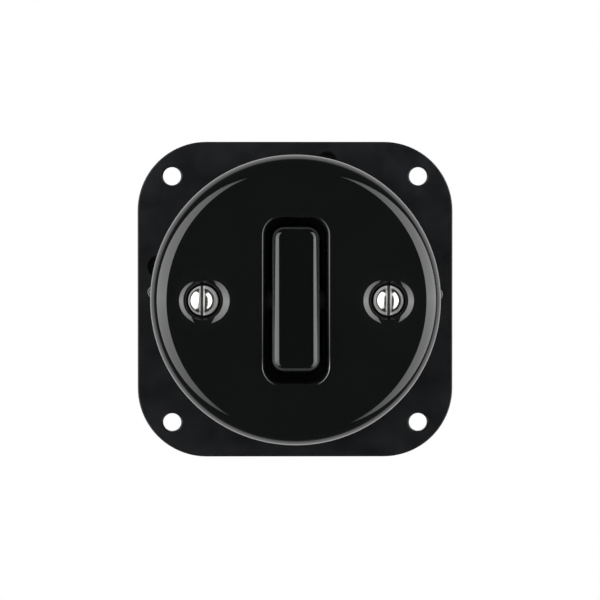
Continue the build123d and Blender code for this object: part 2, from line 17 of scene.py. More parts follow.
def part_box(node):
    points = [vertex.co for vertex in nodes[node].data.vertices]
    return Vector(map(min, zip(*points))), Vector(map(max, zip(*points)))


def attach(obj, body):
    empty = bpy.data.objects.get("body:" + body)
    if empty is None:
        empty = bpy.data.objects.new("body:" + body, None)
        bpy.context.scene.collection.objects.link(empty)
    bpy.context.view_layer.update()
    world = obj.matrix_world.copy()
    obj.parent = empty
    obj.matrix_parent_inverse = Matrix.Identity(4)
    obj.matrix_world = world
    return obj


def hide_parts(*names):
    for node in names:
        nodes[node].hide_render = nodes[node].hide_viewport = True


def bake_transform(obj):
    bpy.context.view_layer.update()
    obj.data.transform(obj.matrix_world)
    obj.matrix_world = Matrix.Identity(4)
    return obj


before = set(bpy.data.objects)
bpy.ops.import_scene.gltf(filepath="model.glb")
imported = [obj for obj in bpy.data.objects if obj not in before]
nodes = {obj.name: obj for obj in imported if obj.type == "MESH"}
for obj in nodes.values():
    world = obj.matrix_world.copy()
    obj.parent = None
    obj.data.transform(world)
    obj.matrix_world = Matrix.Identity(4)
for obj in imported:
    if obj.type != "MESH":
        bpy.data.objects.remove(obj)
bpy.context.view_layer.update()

mm = 0.001

# %% [markdown]
# ## Camera
# A product shot of something this flat is taken with a long lens from about a metre, so that the plate's edges
# stay parallel. The lens length follows from the width that the square picture covers at the plate. The camera
# stands a little to the left and a little above the switch's own axis, and looks slightly past its middle.

# %% Camera
picture_width = 165.8 * mm
camera_distance = 1.1
camera_azimuth = math.radians(-0.9)
camera_elevation = math.radians(1.5)
plate_front = -3.0 * mm
look_at = Vector((1.34 * mm, plate_front, -0.19 * mm))

away = Vector((
    math.sin(camera_azimuth) * math.cos(camera_elevation),
    -math.cos(camera_azimuth) * math.cos(camera_elevation),
    math.sin(camera_elevation),
))
camera_data = bpy.data.cameras.new("camera")
camera_data.sensor_width = 36.0
camera_data.lens = camera_data.sensor_width * camera_distance / picture_width
camera = bpy.data.objects.new("camera", camera_data)
camera.location = look_at + away * camera_distance
camera.rotation_euler = (-away).to_track_quat("-Z", "Y").to_euler()
bpy.context.collection.objects.link(camera)
bpy.context.scene.camera = camera
bpy.context.scene.view_settings.view_transform = "Standard"
print("lens:", round(camera_data.lens), "mm")

# %% [markdown]
# ## Building node trees
# Every lamp and finish below is a small node tree, and a few kinds of node come up again and again. Each node
# could be added and linked line by line, but with one function for each kind a tree reads like a sum. The
# functions take sockets or plain values: a socket is linked, and a value is set on the node's own socket. Each
# hands back the socket with its result, so one call can feed the next.

# %% Helpers for values


def feed(tree, socket, source):
    """Link a socket to its source, or set it where the source is a plain value."""
    if isinstance(source, bpy.types.NodeSocket):
        tree.links.new(source, socket)
    else:
        socket.default_value = source


def calculate(tree, operation, *sources):
    """The result of a Math node."""
    node = tree.nodes.new("ShaderNodeMath")
    node.operation = operation
    for socket, source in zip(node.inputs, sources):
        feed(tree, socket, source)
    return node.outputs["Value"]


def remap(tree, value, start, end, low=0.0, high=1.0, shape="LINEAR"):
    """The result of a Map Range node that takes start..end to low..high and stays there beyond."""
    node = tree.nodes.new("ShaderNodeMapRange")
    node.interpolation_type = shape
    sources = {"Value": value, "From Min": start, "From Max": end, "To Min": low, "To Max": high}
    for label, source in sources.items():
        feed(tree, node.inputs[label], source)
    return node.outputs["Result"]


def split_xyz(tree, place):
    """The outputs X, Y and Z of a Separate XYZ node."""
    node = tree.nodes.new("ShaderNodeSeparateXYZ")
    tree.links.new(place, node.inputs[0])
    return node.outputs


# %% [markdown]
# ## Studio light
# Black glaze shows hardly any colour of its own. What the eye reads as its shape is the room that it mirrors,
# so the light is planned as a mirror image. Two tall softboxes stand at the sides: they draw the bright
# crescents on the cover's shoulder, the rocker's long edges and the screw recesses. Real softboxes taper, lean
# towards the subject and are dimmer at their ends, and so the crescents run out in points. An area lamp is only
# a rectangle or an ellipse, so each softbox is a panel that glows: a grid of one column, whose points are moved to
# the tapered and leaning outline. In front of the switch the studio is dark, so the flat faces stay black.

# %% Glow of a softbox
softbox_radiance = 3.65
upper_loss, lower_loss = 0.68, 0.80
loss_power = 0.62


def glow_material(name, top, bottom):
    """An emission that falls off from the panel's middle to its upper and lower ends."""
    material = bpy.data.materials.new(name)
    material.use_nodes = True
    tree = material.node_tree
    tree.nodes.clear()
    place = tree.nodes.new("ShaderNodeTexCoord")
    height = split_xyz(tree, place.outputs["Object"])["Z"]
    losses = []
    for end, loss in ((top, upper_loss), (-bottom, lower_loss)):
        reach = remap(tree, height, 0.0, end)
        curve = calculate(tree, "POWER", reach, loss_power)
        losses.append(calculate(tree, "MULTIPLY", curve, loss))
    lost = calculate(tree, "ADD", *losses)
    glow = tree.nodes.new("ShaderNodeEmission")
    output = tree.nodes.new("ShaderNodeOutputMaterial")
    tree.links.new(remap(tree, lost, 0.0, 1.0, low=softbox_radiance, high=0.0), glow.inputs["Strength"])
    tree.links.new(glow.outputs[0], output.inputs["Surface"])
    return material


# %% Softboxes
softbox_x = 0.5
softbox_rows = 48
softbox_tip = 0.5 * mm


def softbox(name, side, middle_y, half_width, upper, lower):
    """A tall glowing panel at one side, widest in the middle; each half has an end height and a forward lean."""
    panel = bmesh.new()
    bmesh.ops.create_grid(panel, x_segments=1, y_segments=softbox_rows, size=1.0)
    for vert in panel.verts:
        edge, along = vert.co.x, (vert.co.y + 1) / 2
        z = -lower[0] + (upper[0] + lower[0]) * along
        end, lean = upper if z > 0 else lower
        half = max(half_width * (1 - (z / end) ** 2), softbox_tip)
        vert.co = (side * softbox_x, middle_y - lean * z * z + edge * half, z)
    mesh = bpy.data.meshes.new(name)
    panel.to_mesh(mesh)
    panel.free()
    mesh.materials.append(glow_material(name + "_glow", upper[0], lower[0]))
    lamp = bpy.data.objects.new(name, mesh)
    lamp.visible_camera = False
    bpy.context.collection.objects.link(lamp)
    print(name, "faces:", len(mesh.polygons))


softbox("softbox_left", -1, middle_y=-0.25, half_width=0.28, upper=(1.28, 0.51), lower=(0.92, 0.38))
softbox("softbox_right", 1, middle_y=-0.145, half_width=0.26, upper=(1.26, 0.55), lower=(1.10, 0.28))

# %% [markdown]
# The room behind the switch is white. Camera rays see that white as the picture's background. Mirror rays see
# it only when they leave to the back, which draws the thin bright line round the cover's steep rim; towards the
# front they see the dark studio. Soft light from everywhere else fills the shadows a little.

# %% Helper for shaders


def mix_shaders(tree, factor, a, b):
    """The result of a Mix Shader node."""
    node = tree.nodes.new("ShaderNodeMixShader")
    for socket, source in zip(node.inputs, (factor, a, b)):
        tree.links.new(source, socket)
    return node.outputs[0]


# %% Room
room_white = 1.0
room_dark = 0.05
room_fill = 0.25
mirror_white = 1.15
white_from, white_to = 0.29, 0.77

world = bpy.data.worlds.new("studio")
bpy.context.scene.world = world
world.use_nodes = True
room = world.node_tree
room.nodes.clear()
direction = room.nodes.new("ShaderNodeTexCoord")
ray = room.nodes.new("ShaderNodeLightPath")
to_back = split_xyz(room, direction.outputs["Generated"])["Y"]
mirror_light = remap(room, to_back, white_from, white_to, low=room_dark, high=mirror_white)
mirror_rays = calculate(room, "MAXIMUM", ray.outputs["Is Glossy Ray"], ray.outputs["Is Transmission Ray"])
backgrounds = []
for strength in (room_fill, mirror_light, room_white):
    background = room.nodes.new("ShaderNodeBackground")
    background.inputs["Color"].default_value = (1, 1, 1, 1)
    feed(room, background.inputs["Strength"], strength)
    backgrounds.append(background.outputs[0])
fill, mirrored, backdrop = backgrounds
fill_or_mirror = mix_shaders(room, mirror_rays, fill, mirrored)
with_camera = mix_shaders(room, ray.outputs["Is Camera Ray"], fill_or_mirror, backdrop)
room_output = room.nodes.new("ShaderNodeOutputWorld")
room.links.new(with_camera, room_output.inputs["Surface"])
print("room nodes:", len(room.nodes))

# %% [markdown]
# The cover's rim is so steep that it mirrors the plate's own face. A black plate would break the rim's bright
# line at the four corners, so a pale card lies round the cover's foot. Only mirror rays see it, and only from the
# front.

# %% Shape of the bounce card
card_inner_r, card_outer_r = 40.0 * mm, 62.0 * mm
card_lift = 0.05 * mm
circle_segments = 96

card_bm = bmesh.new()
for r in (card_inner_r, card_outer_r):
    bmesh.ops.create_circle(card_bm, segments=circle_segments, radius=r)
bmesh.ops.bridge_loops(card_bm, edges=card_bm.edges[:])
bmesh.ops.rotate(card_bm, verts=card_bm.verts, matrix=Matrix.Rotation(math.pi / 2, 3, "X"))
bmesh.ops.translate(card_bm, verts=card_bm.verts, vec=(0, plate_front - card_lift, 0))
for face in card_bm.faces:
    face.normal_update()
    if face.normal.y > 0:
        face.normal_flip()
card_mesh = bpy.data.meshes.new("bounce_card")
card_bm.to_mesh(card_mesh)
card_bm.free()
print("card faces:", len(card_mesh.polygons))

# %% Glow of the bounce card
card_strength = 0.8

card_finish = bpy.data.materials.new("bounce_card")
card_finish.use_nodes = True
tree = card_finish.node_tree
tree.nodes.clear()
glow = tree.nodes.new("ShaderNodeEmission")
glow.inputs["Strength"].default_value = card_strength
clear = tree.nodes.new("ShaderNodeBsdfTransparent")
side_seen = tree.nodes.new("ShaderNodeNewGeometry")
front_only = mix_shaders(tree, side_seen.outputs["Backfacing"], glow.outputs[0], clear.outputs[0])
card_output = tree.nodes.new("ShaderNodeOutputMaterial")
tree.links.new(front_only, card_output.inputs["Surface"])
card_mesh.materials.append(card_finish)
card = bpy.data.objects.new("bounce_card", card_mesh)
card.visible_camera = False
card.visible_diffuse = False
card.visible_transmission = False
card.visible_shadow = False
bpy.context.collection.objects.link(card)
print("card nodes:", len(tree.nodes))

# %% [markdown]
# ## Floor
# A pale disc lies well below the switch and takes its soft shadow. It fades out towards its edge, so it has no
# visible rim against the white room, and it can't be seen from underneath.

# %% Shape of the floor
floor_z = -0.30
floor_r = 1.2

floor_mesh = bpy.data.meshes.new("floor")
disc = bmesh.new()
bmesh.ops.create_circle(disc, cap_ends=True, segments=circle_segments, radius=floor_r)
bmesh.ops.translate(disc, verts=disc.verts, vec=(0, 0, floor_z))
disc.to_mesh(floor_mesh)
disc.free()
floor = bpy.data.objects.new("floor", floor_mesh)
floor.visible_glossy = False
bpy.context.collection.objects.link(floor)
print("floor at", floor_z, "m")

# %% Helper for vectors


def vector_math(tree, operation, *sources):
    """The result of a Vector Math node; a length or a distance is a value, all else is a vector."""
    node = tree.nodes.new("ShaderNodeVectorMath")
    node.operation = operation
    for socket, source in zip(node.inputs, sources):
        feed(tree, socket, source)
    return node.outputs["Value" if operation in ("LENGTH", "DISTANCE") else "Vector"]


# %% Finish of the floor
floor_fade = 0.5
floor_tone = (0.82, 0.82, 0.81, 1)
floor_roughness = 0.8

floor_finish = bpy.data.materials.new("pale_floor")
floor_finish.use_nodes = True
tree = floor_finish.node_tree
paint = tree.nodes["Principled BSDF"]
paint.inputs["Base Color"].default_value = floor_tone
paint.inputs["Roughness"].default_value = floor_roughness
place = tree.nodes.new("ShaderNodeTexCoord")
centred = tree.nodes.new("ShaderNodeMapping")
centred.inputs["Location"].default_value = (0, 0, -floor_z)
tree.links.new(place.outputs["Object"], centred.inputs["Vector"])
radius = vector_math(tree, "LENGTH", centred.outputs["Vector"])
solid = remap(tree, radius, floor_fade, floor_r, low=1.0, high=0.0, shape="SMOOTHSTEP")
side_seen = tree.nodes.new("ShaderNodeNewGeometry")
from_above = calculate(tree, "SUBTRACT", 1.0, side_seen.outputs["Backfacing"])
tree.links.new(calculate(tree, "MULTIPLY", from_above, solid), paint.inputs["Alpha"])
floor_mesh.materials.append(floor_finish)
print("floor nodes:", len(tree.nodes))

# %% [markdown]
# ## Shared effects
# No made surface is quite even. Two small node groups give every finish its unevenness. The first puts out soft
# patches and fine grain, as moulded and glazed surfaces have. The second stretches noise into hair-fine lines,
# as polishing and handling leave them on metal. A group is built once and placed in each finish with its own
# sizes, and it reads Object coordinates, which are metres on this part.

# %% Helpers for groups


def new_group(name, inputs, outputs):
    """An empty shader node group with float inputs (name: default) and float outputs."""
    group = bpy.data.node_groups.new(name, "ShaderNodeTree")
    for label, value in inputs.items():
        socket = group.interface.new_socket(label, in_out="INPUT", socket_type="NodeSocketFloat")
        socket.default_value = value
    for label in outputs:
        group.interface.new_socket(label, in_out="OUTPUT", socket_type="NodeSocketFloat")
    ends = group.nodes.new("NodeGroupInput"), group.nodes.new("NodeGroupOutput")
    return group, *ends


def noise(tree, place, scale, detail, roughness):
    """The value of a noise texture at these coordinates."""
    texture = tree.nodes.new("ShaderNodeTexNoise")
    texture.inputs["Detail"].default_value = detail
    texture.inputs["Roughness"].default_value = roughness
    tree.links.new(place, texture.inputs["Vector"])
    tree.links.new(scale, texture.inputs["Scale"])
    return texture.outputs["Fac"]


# %% Patches and grain
patch_detail, grain_detail = 3.0, 2.0
mottle_roughness = 0.5

mottle, mottle_in, mottle_out = new_group(
    "mottle", {"Patch Scale": 100.0, "Grain Scale": 2000.0}, ["Patches", "Grain"]
)
coords = mottle.nodes.new("ShaderNodeTexCoord")
for kind, result, detail in (("Patch", "Patches", patch_detail), ("Grain", "Grain", grain_detail)):
    scale = mottle_in.outputs[kind + " Scale"]
    spots = noise(mottle, coords.outputs["Object"], scale, detail, mottle_roughness)
    mottle.links.new(spots, mottle_out.inputs[result])
print(mottle.name, "nodes:", len(mottle.nodes))

# %% Fine lines
line_turn = (0.5, 0.3, 0.7)
line_stretch = (1.0, 1.0, 0.06)
line_detail, line_roughness = 4.0, 0.65

hairlines, hair_in, hair_out = new_group("hairlines", {"Line Scale": 900.0}, ["Lines"])
coords = hairlines.nodes.new("ShaderNodeTexCoord")
stretch = hairlines.nodes.new("ShaderNodeMapping")
stretch.inputs["Rotation"].default_value = line_turn
stretch.inputs["Scale"].default_value = line_stretch
hairlines.links.new(coords.outputs["Object"], stretch.inputs["Vector"])
scale = hair_in.outputs["Line Scale"]
lines = noise(hairlines, stretch.outputs["Vector"], scale, line_detail, line_roughness)
hairlines.links.new(lines, hair_out.inputs["Lines"])
print(hairlines.name, "nodes:", len(hairlines.nodes))

# %% [markdown]
# ## A finish
# Each finish is a Principled shader that reads one of the groups. A mix of two near tones breaks up the colour, a
# map range breaks up the roughness, and a bump raises the surface by a few thousandths of a millimetre. What is
# the same all over, such as the metal or the index of refraction, is set on the shader itself.

# %% Helper for mixes


def mix(tree, kind, factor, a, b):
    """The result of a Mix node for numbers (FLOAT) or colours (RGBA)."""
    node = tree.nodes.new("ShaderNodeMix")
    node.data_type = kind
    for label, source in (("Factor", factor), ("A", a), ("B", b)):
        feed(tree, node.inputs[label], source)
    return node.outputs["Result"]


# %% Finish builder
noise_low, noise_high = 0.3, 0.7


def new_finish(name, group, scales, tones, roughness, bump_height, follow, bump_from, metallic=0.0, ior=1.5):
    """A material whose tone and roughness follow one output of a group and whose relief follows another."""
    material = bpy.data.materials.new(name)
    material.use_nodes = True
    tree = material.node_tree
    shader = tree.nodes["Principled BSDF"]
    shader.inputs["Metallic"].default_value = metallic
    shader.inputs["IOR"].default_value = ior
    effect = tree.nodes.new("ShaderNodeGroup")
    effect.node_tree = group
    for label, value in scales.items():
        effect.inputs[label].default_value = value
    uneven = effect.outputs[follow]
    tone = mix(tree, "RGBA", uneven, (*tones[0], 1), (*tones[1], 1))
    sheen = remap(tree, uneven, noise_low, noise_high, *roughness)
    relief = tree.nodes.new("ShaderNodeBump")
    relief.inputs["Strength"].default_value = 1.0
    relief.inputs["Distance"].default_value = bump_height
    tree.links.new(effect.outputs[bump_from], relief.inputs["Height"])
    results = {"Base Color": tone, "Roughness": sheen, "Normal": relief.outputs["Normal"]}
    for label, result in results.items():
        tree.links.new(result, shader.inputs[label])
    print("finish:", name)
    return material


# %% [markdown]
# ## Black glaze
# Fired glaze is a layer of black glass. It flows while it melts, so it is mirror smooth but never dead flat: the
# reflections of the softboxes have slightly wavering edges. That wave is a centimetre or two long and about a
# hundredth of a millimetre high, so here the relief comes from the patches and not from the grain. In the two
# screw recesses and in the window's lower corners the glaze pools while it is molten. A coat stands for that
# extra layer of clear glass. Its weight follows the distance from the nearer screw's axis, and in the corners a
# mask of the depth, the height and the distance from the middle. The wall of the window is painted a shade paler
# than the face: painted light for the soft light that falls into the window.

# %% Black glaze
glaze_scales = {"Patch Scale": 70.0, "Grain Scale": 900.0}
glaze_look = {
    "roughness": (0.02, 0.05), "bump_height": 0.04 * mm, "follow": "Patches", "bump_from": "Patches", "ior": 1.6,
}
black_glaze = new_finish(
    "black_glaze", mottle, glaze_scales, tones=((0.0031, 0.0040, 0.0036), (0.0050, 0.0060, 0.0057)), **glaze_look,
)

# %% Pools of glaze in the screw recesses
screw_low, screw_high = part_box("cover_screws")
head_r = (screw_high.z - screw_low.z) / 2
screw_axis_x = screw_high.x - head_r
pool_inner_r, pool_outer_r = 5.1 * mm, 7.6 * mm
pool_inner_soft, pool_outer_soft = 0.2 * mm, 1.8 * mm
pool_ior = 2.0
pool_weight = 0.223

tree = black_glaze.node_tree
glaze_shader = tree.nodes["Principled BSDF"]
glaze_shader.inputs["Coat IOR"].default_value = pool_ior
place = tree.nodes.new("ShaderNodeTexCoord").outputs["Object"]
flat = vector_math(tree, "MULTIPLY", place, (1, 0, 1))
one_side = vector_math(tree, "ABSOLUTE", flat)
from_screw = vector_math(tree, "DISTANCE", one_side, (screw_axis_x, 0, 0))
pool_inside = remap(tree, from_screw, pool_inner_r - pool_inner_soft, pool_inner_r, high=pool_weight)
pool_outside = remap(tree, from_screw, pool_outer_r + pool_outer_soft, pool_outer_r, high=pool_weight)
screw_pool = calculate(tree, "MINIMUM", pool_inside, pool_outside)
print("screw axes at x =", round(screw_axis_x / mm, 2), "mm")

# %% Helper for overlays


def overlay(tree, label, kind, mask, value):
    """Put a value over what a socket of the Principled shader reads, where the mask is 1."""
    socket = tree.nodes["Principled BSDF"].inputs[label]
    below = socket.links[0].from_socket
    tree.links.new(mix(tree, kind, mask, below, value), socket)


# %% Painted light on the window's wall
window_half_x, window_half_z = 9.3 * mm, 23.3 * mm
wall_start_y, wall_full_y = -17.9 * mm, -17.3 * mm
# The wall's paler tone is painted light: it stands in for the soft light that falls into the window.
painted_wall_light_tone = (0.017, 0.019, 0.019, 1)

across = split_xyz(tree, one_side)
point = split_xyz(tree, place)
within_x = calculate(tree, "LESS_THAN", across["X"], window_half_x)
within_z = calculate(tree, "LESS_THAN", across["Z"], window_half_z)
in_window = calculate(tree, "MULTIPLY", within_x, within_z)
painted_wall_light_depth = remap(tree, point["Y"], wall_start_y, wall_full_y)
overlay(tree, "Base Color", "RGBA", calculate(tree, "MULTIPLY", in_window, painted_wall_light_depth), painted_wall_light_tone)
print("glaze nodes:", len(tree.nodes))

# %% Pools in the window's lower corners
lip_start_y, lip_full_y = -17.97 * mm, -17.88 * mm
corner_start_z, corner_full_z = -15.0 * mm, -17.5 * mm
corner_start_x, corner_full_x = 5.5 * mm, 7.0 * mm
corner_weight = 0.9

corner = in_window
for measure, start, full in (
    (point["Y"], lip_start_y, lip_full_y),
    (point["Z"], corner_start_z, corner_full_z),
    (across["X"], corner_start_x, corner_full_x),
):
    corner = calculate(tree, "MULTIPLY", corner, remap(tree, measure, start, full))
corner_pool = calculate(tree, "MULTIPLY", corner, corner_weight)
pools = calculate(tree, "MAXIMUM", screw_pool, corner_pool)
tree.links.new(pools, glaze_shader.inputs["Coat Weight"])
print("glaze nodes with pools:", len(tree.nodes))

# %% [markdown]
# ## Painted highlight on the rocker's edge
# The rocker's rounded rim is painted a little paler than its faces, as a painted highlight for the thin lines of
# light on its edges, and it is a little duller. The rocker gets a glaze of its own, a shade deeper than the
# cover's, with a mask for that rim. The mask measures, in the rocker's own tilted coordinates, how far a point
# lies inside the rocker's outline, which is a rectangle with round corners: outside the straight part of a side
# the distance to the inner rectangle grows, and a band of that distance is the rim. The Mapping node turns the
# coordinates about the pivot, and the inner rectangle is a metre deep, so that depth never counts.

# %% Rocker glaze
pivot_y = -10.5 * mm
rock_angle = math.radians(4.0)
outline_half_x, outline_half_z = 6.5 * mm, 19.62 * mm
outline_r = 3.3 * mm
any_depth = 1.0

rocker_glaze = new_finish(
    "rocker_glaze", mottle, glaze_scales, tones=((0.0020, 0.0027, 0.0023), (0.0032, 0.0039, 0.0036)), **glaze_look,
)
tree = rocker_glaze.node_tree
place = tree.nodes.new("ShaderNodeTexCoord")
turn = tree.nodes.new("ShaderNodeMapping")
turn.vector_type = "TEXTURE"
turn.inputs["Location"].default_value = (0, pivot_y, 0)
turn.inputs["Rotation"].default_value = (-rock_angle, 0, 0)
tree.links.new(place.outputs["Object"], turn.inputs["Vector"])
inner_half = (outline_half_x - outline_r, any_depth, outline_half_z - outline_r)
one_side = vector_math(tree, "ABSOLUTE", turn.outputs["Vector"])
beyond = vector_math(tree, "SUBTRACT", one_side, inner_half)
reach = vector_math(tree, "LENGTH", vector_math(tree, "MAXIMUM", beyond, (0, 0, 0)))
print("rocker nodes:", len(tree.nodes))

# %% Painted highlight on the rocker's rim
rim_start, rim_end = 0.08 * mm, 0.55 * mm
rim_soft = 0.15 * mm
# The rim's paler tone is a painted highlight: it stands in for the lines of light on the rounded edge.
rim_painted_highlight_tone = (0.048, 0.050, 0.051, 1)
rim_roughness = 0.32

past_rim_end = remap(tree, reach, outline_r - rim_end - rim_soft, outline_r - rim_end)
past_rim_start = remap(tree, reach, outline_r - rim_start, outline_r - rim_start + rim_soft)
rim_highlight_band = calculate(tree, "SUBTRACT", past_rim_end, past_rim_start)
overlay(tree, "Base Color", "RGBA", rim_highlight_band, rim_painted_highlight_tone)
overlay(tree, "Roughness", "FLOAT", rim_highlight_band, rim_roughness)
print("rocker nodes with rim:", len(tree.nodes))

# %% [markdown]
# ## Mouldings
# The plate and the housing are pressed from black moulding powder. Their surface is satin, with cloudy patches
# where the powder flowed and a fine grain from the tool. The housing is a little browner and duller. The rear lid
# is brown fibre, and its tone follows the grain. Painted pictures could show all this, but the mottle group needs
# no file and takes another size for each piece, so it is placed again.

# %% Mouldings
plate_black = new_finish(
    "plate_black", mottle, {"Patch Scale": 160.0, "Grain Scale": 3200.0},
    tones=((0.0016, 0.0021, 0.0030), (0.0166, 0.0177, 0.0206)), roughness=(0.36, 0.48),
    bump_height=0.006 * mm, follow="Patches", bump_from="Grain",
)
housing_black = new_finish(
    "housing_black", mottle, {"Patch Scale": 120.0, "Grain Scale": 2600.0},
    tones=((0.0215, 0.0200, 0.0188), (0.0335, 0.0312, 0.0295)), roughness=(0.45, 0.58),
    bump_height=0.008 * mm, follow="Patches", bump_from="Grain",
)
lid_brown = new_finish(
    "lid_brown", mottle, {"Patch Scale": 260.0, "Grain Scale": 1800.0},
    tones=((0.050, 0.026, 0.016), (0.085, 0.046, 0.028)), roughness=(0.50, 0.68),
    bump_height=0.015 * mm, follow="Grain", bump_from="Grain",
)

# %% [markdown]
# ## Metals
# The screws that show are nickel plated and polished, the spring is plain steel, the current path is brass and
# the contacts are silver. Metal has no colour under its mirror, so the tone is the mirror's own tint, and the
# hairlines change its roughness a little from line to line. The nickel has one more mask: where a mesh carries
# the attribute "turned", the surface is left satin from the lathe.

# %% Nickel and steel
smooth_relief, plain_relief = 0.001 * mm, 0.002 * mm


def new_metal(name, line_scale, tones, roughness, relief):
    """A bare metal whose tint, roughness and relief all follow the hairlines."""
    return new_finish(
        name, hairlines, {"Line Scale": line_scale}, tones, roughness, relief, follow="Lines", bump_from="Lines",
        metallic=1.0,
    )


nickel = new_metal(
    "nickel", line_scale=1100.0, tones=((0.60, 0.59, 0.56), (0.70, 0.69, 0.66)), roughness=(0.08, 0.16),
    relief=smooth_relief,
)
steel = new_metal(
    "steel", line_scale=800.0, tones=((0.40, 0.40, 0.41), (0.52, 0.52, 0.53)), roughness=(0.24, 0.38),
    relief=plain_relief,
)
# Near-black steel: painted shade for the pin and the clamp screws, which sit in the dark housing.
shade_dark_steel = new_metal(
    "shade_dark_steel", line_scale=800.0, tones=((0.030, 0.031, 0.034), (0.050, 0.051, 0.055)), roughness=(0.34, 0.48),
    relief=plain_relief,
)

# %% Brass and silver
brass = new_metal(
    "brass", line_scale=700.0, tones=((0.62, 0.41, 0.15), (0.74, 0.52, 0.22)), roughness=(0.22, 0.36),
    relief=plain_relief,
)
# Near-black brass: painted shade for the strips and terminals, which sit in the dark housing.
shade_dark_brass = new_metal(
    "shade_dark_brass", line_scale=700.0, tones=((0.070, 0.048, 0.026), (0.110, 0.076, 0.042)), roughness=(0.38, 0.52),
    relief=plain_relief,
)
silver = new_metal(
    "silver", line_scale=900.0, tones=((0.80, 0.79, 0.75), (0.89, 0.88, 0.85)), roughness=(0.20, 0.34),
    relief=smooth_relief,
)

# %% Satin of the turned nickel
satin_roughness = 0.75
satin_tone = (0.74, 0.74, 0.73, 1)

turned = nickel.node_tree.nodes.new("ShaderNodeAttribute")
turned.attribute_name = "turned"
overlay(nickel.node_tree, "Roughness", "FLOAT", turned.outputs["Fac"], satin_roughness)
overlay(nickel.node_tree, "Base Color", "RGBA", turned.outputs["Fac"], satin_tone)
print("nickel nodes:", len(nickel.node_tree.nodes))

# %% [markdown]
# ## Finishes on the CAD pieces
# A CAD piece keeps its mesh, and only its material is exchanged. The record says which slot each piece takes its
# finish from, so one table from slot to finish dresses them all. A few pieces differ from their slot. The rocker
# has its own glaze. The pivot pin, the clamp screws, the strips and the terminals are near black: painted shade
# for the dark inside the housing, so none of them glints in the window's gap or in the openings of the housing.

# %% Dress the CAD pieces
finish_of_slot = {
    "black_porcelain": black_glaze,
    "plate_moulding": plate_black,
    "housing_moulding": housing_black,
    "lid_fibre": lid_brown,
    "nickel": nickel,
    "steel": steel,
    "brass": brass,
    "silver": silver,
}
for node in nodes.values():
    slot_name = node.data.materials[0].name
    node.data.materials[0] = finish_of_slot[slot_name]
finish_of_node = {
    "porcelain_rocker": rocker_glaze,
    "pivot_pin": shade_dark_steel,
    "terminal_screws": shade_dark_steel,
    "common_strip": shade_dark_brass,
    "upper_strip": shade_dark_brass,
    "lower_strip": shade_dark_brass,
    "common_terminal": shade_dark_brass,
    "upper_terminal": shade_dark_brass,
    "lower_terminal": shade_dark_brass,
}
for name, finish in finish_of_node.items():
    nodes[name].data.materials[0] = finish
print("dressed:", len(nodes))

# %% [markdown]
# ## Cover screws
# The two screws are the brightest thing on the switch, so their heads are modelled again with what the plain
# solid lacks. A polished dome stands inside a satin rim, with a fine turned groove between them, and the slot
# has broad chamfered lips that catch the softboxes. The profile is spun round the screw's axis. Planes then cut
# the mesh along the slot's edges, the points between them are pressed in to make the chamfers, and the middle
# strip is extruded down to the slot's floor.

# %% Sizes of the head
head_top = screw_low.y
seat_y = -14.6 * mm
floor_height = 0.85 * mm
slot_floor = seat_y - floor_height
shank_r = 2.0 * mm
dome_r, dome_offset = 7.17 * mm, 1.56 * mm
dome_edge = 3.24 * mm
groove_r, groove_depth = 3.34 * mm, 0.16 * mm
rim_r, rim_flat_r = 3.44 * mm, 3.86 * mm
rim_height, rim_fall, side_height = 1.70 * mm, 0.10 * mm, 1.25 * mm
print("head:", round(2 * head_r / mm, 2), "mm across,", round((seat_y - head_top) / mm, 2), "mm high")

# %% Profile of the head
round_steps, dome_steps = 6, 16


def dome_drop(r):
    """How far the pointed dome lies below its top at this radius."""
    return math.sqrt(dome_r**2 - dome_offset**2) - math.sqrt(dome_r**2 - (r + dome_offset) ** 2)


head_profile = [(0, screw_high.y), (shank_r, screw_high.y), (shank_r, seat_y), (head_r, seat_y)]
head_profile.append((head_r, slot_floor))
for step in range(round_steps + 1):
    angle = math.pi / 2 * step / round_steps
    r = rim_flat_r + (head_r - rim_flat_r) * math.cos(angle)
    rise = side_height + (rim_height - rim_fall - side_height) * math.sin(angle)
    head_profile.append((r, seat_y - rise))
head_profile.append((rim_r, seat_y - rim_height))
head_profile.append((groove_r, seat_y - rim_height + groove_depth))
for step in range(dome_steps + 1):
    r = dome_edge * (1 - step / dome_steps)
    head_profile.append((r, head_top + dome_drop(r)))
print("profile points:", len(head_profile))

# %% Head without a slot
spin_steps = 96
crown_shift = 0.3 * mm
weld_distance = 0.001 * mm


def round_head(bm, off_centre):
    """A screw about the Y axis, its head towards -Y, with the dome and the rim's inside set off centre."""
    verts = [bm.verts.new((r, y, 0)) for r, y in head_profile]
    edges = [bm.edges.new(pair) for pair in zip(verts, verts[1:])]
    bmesh.ops.spin(
        bm, geom=verts + edges, cent=(0, 0, 0), axis=(0, 1, 0), angle=2 * math.pi, steps=spin_steps,
        use_merge=True,
    )
    bmesh.ops.remove_doubles(bm, verts=bm.verts, dist=weld_distance)
    bmesh.ops.recalc_face_normals(bm, faces=bm.faces)
    for vert in bm.verts:
        from_axis = math.hypot(vert.co.x, vert.co.z)
        if vert.co.y > seat_y - side_height:
            continue
        on_dome = max(1 - (from_axis / dome_edge) ** 2, 0)
        within_ring = min((head_r - from_axis) / (head_r - rim_r), 1)
        vert.co.x += crown_shift * on_dome + off_centre * within_ring


# %% Slot in a head
slot_core = 0.38 * mm
slot_lip = 0.80 * mm
lip_slope = 0.6
cut_tolerance = 0.0001 * mm


